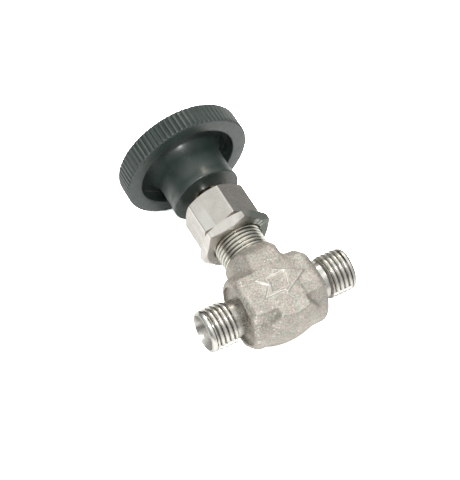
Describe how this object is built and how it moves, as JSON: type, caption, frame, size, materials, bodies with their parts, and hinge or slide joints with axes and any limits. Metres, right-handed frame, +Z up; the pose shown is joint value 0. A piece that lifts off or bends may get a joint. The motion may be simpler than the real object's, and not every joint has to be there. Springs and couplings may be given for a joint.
{
  "type": "needle valve",
  "caption": "Inline needle valve with threaded tube ports, a forged body, hexagon packing and panel nuts, and a round fluted knob that screws the needle off its seat.",
  "frame": {"origin": "on the stem axis, at the lowest point of the forged belly; the port axis crosses the stem axis 10.9 mm above it", "axes": "+Z up the stem to the knob, X along the two ports with +X the way the flow arrow points, -Y out of the marked front pad"},
  "size_m": [0.0406, 0.0344, 0.062],
  "materials": {
    "forged_steel": "bead-blasted stainless forging, warm grey, satin, with bright machined threads",
    "machined_steel": "bright turned and milled stainless steel",
    "panel_nut_steel": "fine-ground stainless steel with polished edges",
    "black_plastic": "moulded black phenolic, semi-gloss",
    "brass_insert": "plain turned brass",
    "black_oxide_steel": "black oxide socket screw",
    "white_ptfe": "smooth white PTFE"
  },
  "bodies": {
    "valve": {"valve_body": "forged_steel", "packing_support_washer": "machined_steel", "packing_ring_lower": "white_ptfe", "packing_ring_middle": "white_ptfe", "packing_ring_upper": "white_ptfe", "packing_gland": "machined_steel", "packing_nut": "machined_steel"},
    "needle": {"needle_tip": "machined_steel"},
    "handle": {"stem": "machined_steel", "knob": "black_plastic", "knob_insert": "brass_insert", "knob_set_screw": "black_oxide_steel"},
    "panel_nut": {"panel_nut": "panel_nut_steel"}
  },
  "joints": [
    {"name": "needle_lift", "type": "slide", "parent": "valve", "child": "needle", "axis": [0, 0, 1], "range_m": [-0.00181, 0.00272]},
    {"name": "knob_turn", "type": "hinge", "parent": "needle", "child": "handle", "pos_m": [0, 0, 0.0559], "axis": [0, 0, 1], "range_deg": [-720, 1080]},
    {"name": "panel_nut_travel", "type": "slide", "parent": "valve", "child": "panel_nut", "axis": [0, 0, 1], "range_m": [-0.0059, 0]}
  ],
  "couplings": [
    {"joint": "knob_turn", "follows": "needle_lift", "rad_per_m": 6926.7}
  ]
}
